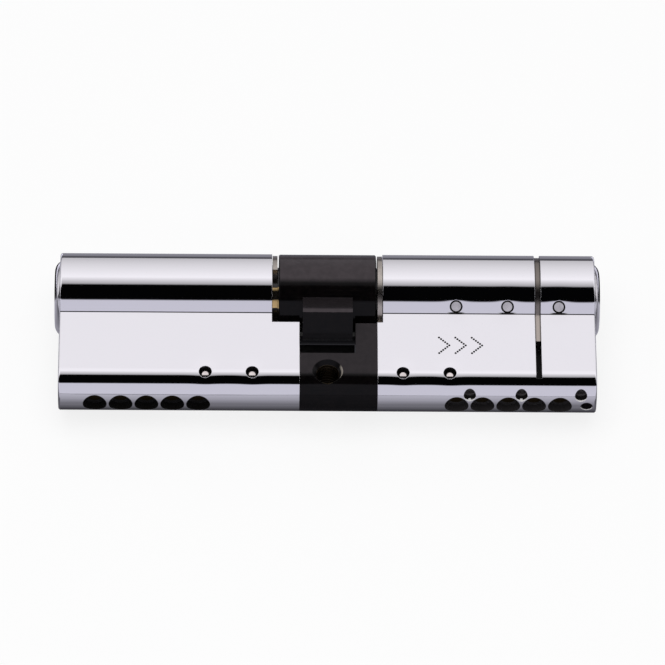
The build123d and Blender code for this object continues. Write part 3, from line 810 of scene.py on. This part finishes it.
def wind(name, radius, section, rise, turns, sides, steps):
    """Helical piece about Z that starts on X, with capped ends; section gives its half sizes."""
    leave_all()
    bpy.ops.mesh.primitive_circle_add(vertices=sides, radius=1.0, location=(0, 0, 0))
    piece = bpy.context.object
    piece.name = name
    piece.data.name = name
    piece.scale = (section[0], section[1], 1.0)
    bpy.ops.object.transform_apply(scale=True)
    settle((pi / 2, 0, 0), (radius, 0, 0))
    helix = piece.modifiers.new("helix", "SCREW")
    helix.axis = "Z"
    helix.angle = 2 * pi
    helix.screw_offset = rise
    helix.iterations = turns
    helix.steps = steps
    helix.render_steps = steps
    helix.use_merge_vertices = False
    bpy.ops.object.modifier_apply(modifier=helix.name)
    bpy.ops.object.mode_set(mode="EDIT")
    bpy.ops.mesh.select_all(action="SELECT")
    bpy.ops.mesh.remove_doubles(threshold=1e-7)
    bpy.ops.mesh.fill_holes(sides=0)
    bpy.ops.mesh.select_all(action="SELECT")
    bpy.ops.mesh.normals_make_consistent(inside=False)
    bpy.ops.object.mode_set(mode="OBJECT")
    bpy.ops.object.shade_smooth_by_angle(angle=radians(40))
    return piece


def copy_of(piece, name):
    """Copy with its own mesh."""
    made = piece.copy()
    made.data = piece.data.copy()
    made.name = name
    made.data.name = name
    bpy.context.scene.collection.objects.link(made)
    return made


def dress(piece, material, body):
    """Finish a new piece and let it ride on a body."""
    piece.data.materials.clear()
    piece.data.materials.append(material)
    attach(piece, body)


class LOCK_OT_halves(bpy.types.Operator):
    """Plate both halves of the housing"""

    bl_idname = "lock.halves"
    bl_label = "Chrome halves"

    def execute(self, context):
        paint(["inside_body", "outside_body"], chrome_finish(context.scene.lock_finish))
        return {"FINISHED"}


class LOCK_OT_centre(bpy.types.Operator):
    """Blacken the cam and the bridge"""

    bl_idname = "lock.centre"
    bl_label = "Black centre"

    def execute(self, context):
        paint(["cam", "bridge"], black_finish(context.scene.lock_finish))
        return {"FINISHED"}


class LOCK_OT_plugs(bpy.types.Operator):
    """Finish the plugs and their circlips"""

    bl_idname = "lock.plugs"
    bl_label = "Plugs and circlips"

    def execute(self, context):
        look = context.scene.lock_finish
        paint([f"{side}_plug" for side in SIDES], plug_finish(look))
        clip = metal_finish("circlip_steel", look.spring, 0.22, grain_depth=1.5e-6, edge=0.1)
        paint([f"{side}_circlip" for side in SIDES], clip)
        return {"FINISHED"}


class LOCK_OT_pins(bpy.types.Operator):
    """Finish the dowels and the hardened pins"""

    bl_idname = "lock.pins"
    bl_label = "Dowels and hardened pins"

    def execute(self, context):
        look = context.scene.lock_finish
        bright = metal_finish(
            "polished_steel", look.dowel, 0.09, grain_depth=4e-7, edge=0.1, shade_amount=0.2
        )
        shade_rim(bright, dowel_distance, DOWEL_RIM_R, look.soot_and_shade)
        paint([f"{side}_dowel_pins" for side in SIDES], bright)
        ground = metal_finish("ground_steel", look.steel, 0.16, grain_depth=8e-7, edge=0.05)
        shade_rim(ground, drill_distance, DRILL_RIM_R, look.soot_and_shade)
        paint(["outside_drill_pins"], ground)
        # lower pins in steel darkened as painted shade for their deep holes
        dim = metal_finish("shaded_steel", toned(look.steel, 0.4), 0.3)
        paint(["outside_lower_pins"], dim)
        return {"FINISHED"}


class LOCK_OT_stacks(bpy.types.Operator):
    """Finish the pin stacks and wind their springs"""

    bl_idname = "lock.stacks"
    bl_label = "Pin stacks"

    def execute(self, context):
        look = context.scene.lock_finish
        size = context.scene.lock_detail
        brass = metal_finish("turned_brass", look.brass, 0.2, edge=0.08)
        steel = metal_finish("turned_steel", look.steel, 0.18, edge=0.08)
        # stoppers painted near black for the shade deep in the chambers
        stopper = metal_finish("shaded_brass", toned(look.brass, 0.08), 0.4)
        wire = metal_finish("spring_wire", look.spring, 0.2, edge=0.03)
        low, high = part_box("outside_spring_1")
        rise = (high.y - low.y - 2 * size.spring_wire) / size.spring_turns
        section = (size.spring_wire, size.spring_wire)
        turns = size.spring_turns
        master = wind("spring", size.spring_radius, section, rise, turns, sides=12, steps=28)
        settle((-pi / 2, 0, 0), (0, low.y + size.spring_wire, 0))
        for side in SIDES:
            paint([f"{side}_chamber_plugs"], stopper)
            for number in range(1, STACK_COUNT + 1):
                paint([f"{side}_key_pin_{number}"], brass)
                paint([f"{side}_driver_pin_{number}"], steel)
                spring_node = f"{side}_spring_{number}"
                spring = copy_of(master, f"{spring_node}_wire")
                leave_all()
                spring.select_set(True)
                context.view_layer.objects.active = spring
                settle((0, 0, 0), (middle(spring_node).x, 0, 0))
                dress(spring, wire, frame_body(spring_node))
                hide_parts(spring_node)
                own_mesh(spring)
        bpy.data.objects.remove(master)
        return {"FINISHED"}


def frame_body(name):
    """Body that a CAD node belongs to."""
    bodies = frame["record"]["behaviour"]["bodies"]
    return next(body for body, members in bodies.items() if name in members)


class LOCK_OT_clutch(bpy.types.Operator):
    """Finish the couplers and wind the spring between them"""

    bl_idname = "lock.clutch"
    bl_label = "Clutch"

    def execute(self, context):
        look = context.scene.lock_finish
        size = context.scene.lock_detail
        sinter = metal_finish("sintered_grey", look.sinter, 0.42, grain_scale=6.0, grain_depth=6e-6)
        paint([f"{side}_coupler" for side in SIDES], sinter)
        wire = metal_finish("clutch_wire", look.spring, 0.2, edge=0.03)
        low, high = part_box("coupler_spring")
        rise = (high.x - low.x - 2 * size.clutch_wire) / size.clutch_turns
        section = (size.clutch_wire, size.clutch_wire)
        turns = size.clutch_turns
        wind("coupler_spring_wire", size.clutch_radius, section, rise, turns, sides=14, steps=48)
        along = Matrix(((0, 0, 1), (1, 0, 0), (0, 1, 0))).to_euler()
        spring = settle(along, (low.x + size.clutch_wire, 0, 0))
        dress(spring, wire, frame_body("coupler_spring"))
        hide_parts("coupler_spring")
        return {"FINISHED"}


class LOCK_OT_thread(bpy.types.Operator):
    """Cut the fixing thread in the bridge"""

    bl_idname = "lock.thread"
    bl_label = "Fixing thread"

    def execute(self, context):
        look = context.scene.lock_finish
        size = context.scene.lock_detail
        pitch = size.thread_pitch
        turns = size.thread_turns
        root = size.thread_wall + THREAD_ROOT
        section = (size.thread_height + THREAD_ROOT, THREAD_FLANK * pitch)
        wind("fixing_thread", root, section, pitch, turns, sides=4, steps=56)
        rise = pitch * turns
        thread = settle((0, 0, 0), (0, FIXING_Y, -rise / 2))
        oiled = metal_finish("oiled_thread", look.oiled, 0.26, edge=0.04, shade_amount=0.25)
        dress(thread, oiled, "housing")
        return {"FINISHED"}


# Stage


FLOOR_SIZE = 8.0
FLOOR_GLOW = 0.82
# Low strip of the same board that holds the leg level
LEG_REST = (60 * MM, 4 * MM)
LEG_REST_Y = -16.5 * MM
LAMP_PLACE = (-0.05, -0.1, 0.8)
# Darkest place of the floor under the lock and where that fades out, in millimetres
SHADE_MIDDLE_Y = -3.25
SHADE_FADE_X = (40.0, 12.0)
SHADE_FADE_Y = (11.75, 5.0)
WHITE_CLOTH = (1.02, 1.0, 1.055)
COOL_CLOTH = (1.015, 1.0, 1.16)
# Light tent as an arch over the lock: angle in degrees from straight up, towards the camera
# positive, with the brightness and the tint of its cloth there
TENT_ARC = 92.0
TENT_SIDES = 192
TENT_BANDS = (
    (-90.0, 0.08, COOL_CLOTH),
    (-89.0, 0.54, WHITE_CLOTH),
    (-60.0, 0.73, WHITE_CLOTH),
    (-37.0, 0.86, WHITE_CLOTH),
    (-20.0, 0.96, WHITE_CLOTH),
    (-1.5, 0.40, WHITE_CLOTH),
    (1.5, 0.001, COOL_CLOTH),
    (38.5, 0.001, COOL_CLOTH),
    (41.5, 0.59, COOL_CLOTH),
    (88.3, 0.60, COOL_CLOTH),
    (89.3, 0.235, COOL_CLOTH),
)
# Glowing cards on the floor that only gloss sees, a painted reflection of the floor's shade round the
# lock: brightness by distance in metres from each start
FRONT_CARD = ((0.0, 0.05), (0.004, 0.12), (0.01, 0.24), (0.02, 0.35), (0.05, 0.42), (0.2, 0.46))
BACK_CARD = ((0.0, 0.37), (0.03, 0.25), (0.07, 0.20), (0.1, 0.08), (0.3, 0.07))
END_CARD = (
    (0.0, 0.9), (0.005, 0.9), (0.006, 0.01), (0.0235, 0.01), (0.025, 0.5), (0.033, 0.35), (0.05, 0.1),
)
CARD_LIFT = 0.05 * MM
END_CARD_START = 30 * MM
END_CARD_GAP = 51.5 * MM
END_CARD_SIZE = 90 * MM


def cloth_ramp(tree, share, bands, low, high):
    """Glow of cloth by a share of the way from low to high."""
    ramp = node(tree, "ShaderNodeValToRGB", {0: share})
    stops = ramp.color_ramp.elements
    stops.remove(stops[1])
    for index, (place, level, tint) in enumerate(bands):
        position = (place - low) / (high - low)
        stop = stops.new(position) if index else stops[0]
        stop.position = position
        stop.color = (*[level * part for part in tint], 1.0)
    return ramp.outputs[0]


def tent_finish():
    """Glow of the tent's panels by their angle over the lock."""
    material, tree, glow = new_finish("tent_glow", "ShaderNodeEmission")
    where = node(tree, "ShaderNodeTexCoord").outputs["Object"]
    y, z = node(tree, "ShaderNodeSeparateXYZ", {0: where}).outputs[1:]
    angle = calc(tree, "ARCTAN2", times(tree, y, -1.0), z)
    share = scaled(tree, angle, 0.5 / radians(TENT_ARC), 0.5)
    cloth = cloth_ramp(tree, share, TENT_BANDS, -TENT_ARC, TENT_ARC)
    tree.links.new(cloth, glow.inputs["Color"])
    return material


def card_finish(name, heading, start, levels):
    """Glow of a card, a painted reflection, by the distance along Y, heading out from its start."""
    material, tree, glow = new_finish(name, "ShaderNodeEmission")
    where = node(tree, "ShaderNodeTexCoord").outputs["Object"]
    y = node(tree, "ShaderNodeSeparateXYZ", {0: where}).outputs[1]
    away = times(tree, minus(tree, y, start), heading)
    reach = levels[-1][0]
    share = calc(tree, "DIVIDE", away, reach, clamp=True)
    bands = [(place, level, COOL_CLOTH) for place, level in levels]
    tree.links.new(cloth_ramp(tree, share, bands, 0.0, reach), glow.inputs["Color"])
    return material


def seen_rays(tree):
    """Mask of rays from the camera, straight or by way of gloss or glass."""
    ray = node(tree, "ShaderNodeLightPath").outputs
    return either(tree, ray["Is Camera Ray"], ray["Is Glossy Ray"], ray["Is Transmission Ray"])


def floor_finish(colour):
    """Plain pale board with a faint unevenness, dark where the lock keeps the light out."""
    material, tree, shader = new_finish("pale_floor")
    grain = effect(tree, "metal_grain", Scale=0.3)
    dim = toned(colour, 0.985)
    board = blend(tree, grain["Mottle"], colour, dim)
    x, y = axes(tree)[:2]
    past_middle = unsigned(tree, minus(tree, y, SHADE_MIDDLE_Y))
    under_x = fade(tree, unsigned(tree, x), *SHADE_FADE_X)
    under_y = fade(tree, past_middle, *SHADE_FADE_Y)
    clear = beyond(tree, every(tree, under_x, under_y))
    shade = toned(colour, 0.06)
    tree.links.new(blend(tree, clear, shade, board), shader.inputs["Base Color"])
    shader.inputs["Roughness"].default_value = 0.9
    shader.inputs["Specular IOR Level"].default_value = 0.0
    seen = times(tree, seen_rays(tree), clear)
    white = node(tree, "ShaderNodeEmission", {"Color": (1.0, 1.0, 1.0, 1.0), "Strength": 1.0})
    mixed = node(tree, "ShaderNodeMixShader", {0: times(tree, seen, FLOOR_GLOW)})
    tree.links.new(shader.outputs[0], mixed.inputs[1])
    tree.links.new(white.outputs[0], mixed.inputs[2])
    output = next(made for made in tree.nodes if made.type == "OUTPUT_MATERIAL")
    tree.links.new(mixed.outputs[0], output.inputs["Surface"])
    return material


class LOCK_OT_stage(bpy.types.Operator):
    """Set the floor, the light tent, the lamp and the camera"""

    bl_idname = "lock.stage"
    bl_label = "Studio"

    def execute(self, context):
        scene = context.scene
        setup = scene.lock_stage
        scene.view_settings.view_transform = "Standard"
        self.floor(setup)
        self.tent(setup)
        self.lights(scene, setup)
        self.camera(scene, setup)
        return {"FINISHED"}

    def floor(self, setup):
        """Pale board and the strip under the leg."""
        pale = floor_finish(setup.floor)
        leave_all()
        bpy.ops.mesh.primitive_plane_add(size=FLOOR_SIZE, location=(0, 0, FLOOR_Z))
        board = bpy.context.object
        board.name = "floor"
        board.data.materials.append(pale)
        leave_all()
        height = LEG_UNDER_Z - FLOOR_Z
        bpy.ops.mesh.primitive_cube_add(size=1.0, location=(0, LEG_REST_Y, FLOOR_Z + height / 2))
        rest = bpy.context.object
        rest.name = "leg_rest"
        rest.scale = (*LEG_REST, height)
        bpy.ops.object.transform_apply(scale=True)
        rest.data.materials.append(pale)

    def tent(self, setup):
        """Arch and ends of the light tent, and the glowing cards on the floor that paint the floor's
        reflection.
        """
        leave_all()
        bpy.ops.mesh.primitive_cylinder_add(
            vertices=TENT_SIDES, radius=setup.tent_radius, depth=setup.tent_length,
            end_fill_type="NOTHING", rotation=(0, pi / 2, 0),
        )
        arch = bpy.context.object
        arch.name = "light_tent"
        bpy.ops.object.transform_apply(rotation=True)
        bpy.ops.object.mode_set(mode="EDIT")
        bpy.ops.mesh.select_all(action="SELECT")
        bpy.ops.mesh.bisect(plane_co=(0, 0, FLOOR_Z), plane_no=(0, 0, 1), clear_inner=True)
        bpy.ops.object.mode_set(mode="OBJECT")
        bpy.ops.object.shade_smooth()
        cloth = tent_finish()
        arch.data.materials.append(cloth)
        self.gloss_only(arch)
        reach = setup.tent_radius
        low = FLOOR_Z + CARD_LIFT
        end_x = setup.tent_length / 2
        front = card_finish("front_card", -1, FOOT_Y * MM, FRONT_CARD)
        back = card_finish("back_card", 1, 0.0, BACK_CARD)
        ends = card_finish("end_cards", -1, END_CARD_START, END_CARD)
        long = (setup.tent_length, reach, 1)
        tall = (reach, 2 * reach, 1)
        small = (END_CARD_SIZE, END_CARD_SIZE, 1)
        beside = END_CARD_GAP + END_CARD_SIZE / 2
        cards = (
            ("front_card", front, (0, -reach / 2, low), 0.0, long),
            ("back_card", back, (0, reach / 2, low), 0.0, long),
            ("left_card", cloth, (-end_x, 0, reach / 2), pi / 2, tall),
            ("right_card", cloth, (end_x, 0, reach / 2), pi / 2, tall),
            ("left_end_card", ends, (-beside, 0, low + CARD_LIFT), 0.0, small),
            ("right_end_card", ends, (beside, 0, low + CARD_LIFT), 0.0, small),
        )
        for name, finish, place, turn, size in cards:
            leave_all()
            bpy.ops.mesh.primitive_plane_add(size=1.0, location=place, rotation=(0, turn, 0))
            card = bpy.context.object
            card.name = name
            card.scale = size
            bpy.ops.object.transform_apply(location=True, rotation=True, scale=True)
            card.data.materials.append(finish)
            self.gloss_only(card)

    def gloss_only(self, piece):
        """Let a piece show only in reflections."""
        piece.visible_camera = False
        piece.visible_diffuse = False
        piece.visible_shadow = False

    def lights(self, scene, setup):
        """Soft lamp and white room."""
        leave_all()
        place = Vector(LAMP_PLACE)
        bpy.ops.object.light_add(type="AREA", location=place)
        lamp = bpy.context.object
        lamp.name = "soft_lamp"
        lamp.data.shape = "SQUARE"
        lamp.data.size = setup.lamp_size
        lamp.data.energy = setup.lamp_power
        lamp.rotation_euler = (-place).to_track_quat("-Z", "Y").to_euler()
        lamp.visible_glossy = False
        lamp.visible_camera = False
        world = bpy.data.worlds.new("white_room")
        world.use_nodes = True
        tree = world.node_tree
        sky = tree.nodes["Background"]
        sky.inputs["Color"].default_value = (1.0, 1.0, 1.0, 1.0)
        level = node(
            tree, "ShaderNodeMapRange",
            {"Value": seen_rays(tree), "To Min": setup.room_light, "To Max": 1.0},
        )
        tree.links.new(level.outputs[0], sky.inputs["Strength"])
        scene.world = world

    def camera(self, scene, setup):
        """Camera with a long lens, rolled a little."""
        leave_all()
        round_lock = Matrix.Rotation(setup.azimuth, 3, "Z")
        back = round_lock @ Vector((0, -cos(setup.elevation), sin(setup.elevation)))
        up = round_lock @ Vector((0, sin(setup.elevation), cos(setup.elevation)))
        aim = round_lock @ Vector((setup.aim_right, 0, 0)) - up * setup.aim_down
        bpy.ops.object.camera_add(location=aim + back * setup.distance)
        camera = bpy.context.object
        camera.name = "photo_camera"
        look_at = (-back).to_track_quat("-Z", "Y").to_matrix() @ Matrix.Rotation(setup.roll, 3, "Z")
        camera.rotation_euler = look_at.to_euler()
        camera.data.angle = 2 * atan(setup.frame_width / 2 / setup.distance)
        scene.camera = camera


class LOCK_PT_build(bpy.types.Panel):
    """Steps that finish the lock"""

    bl_idname = "LOCK_PT_build"
    bl_label = "Euro Lock Cylinder"
    bl_space_type = "VIEW_3D"
    bl_region_type = "UI"
    bl_category = "Lock"

    def draw(self, context):
        layout = self.layout
        for group in (context.scene.lock_finish, context.scene.lock_detail, context.scene.lock_stage):
            box = layout.box()
            for key in group.__annotations__:
                box.prop(group, key)
        for step in STEPS:
            layout.operator(step.bl_idname)


STEPS = (
    LOCK_OT_halves,
    LOCK_OT_centre,
    LOCK_OT_plugs,
    LOCK_OT_pins,
    LOCK_OT_stacks,
    LOCK_OT_clutch,
    LOCK_OT_thread,
    LOCK_OT_stage,
)
GROUPS = (("lock_finish", LockFinish), ("lock_detail", LockDetail), ("lock_stage", LockStage))


def register():
    for name, group in GROUPS:
        bpy.utils.register_class(group)
        setattr(bpy.types.Scene, name, PointerProperty(type=group))
    for step in (*STEPS, LOCK_PT_build):
        bpy.utils.register_class(step)


def unregister():
    for step in reversed((*STEPS, LOCK_PT_build)):
        bpy.utils.unregister_class(step)
    for name, group in reversed(GROUPS):
        delattr(bpy.types.Scene, name)
        bpy.utils.unregister_class(group)


def main():
    register()
    bpy.ops.lock.halves()
    bpy.ops.lock.centre()
    bpy.ops.lock.plugs()
    bpy.ops.lock.pins()
    bpy.ops.lock.stacks()
    bpy.ops.lock.clutch()
    bpy.ops.lock.thread()
    bpy.ops.lock.stage()


if __name__ == "__main__":
    main()
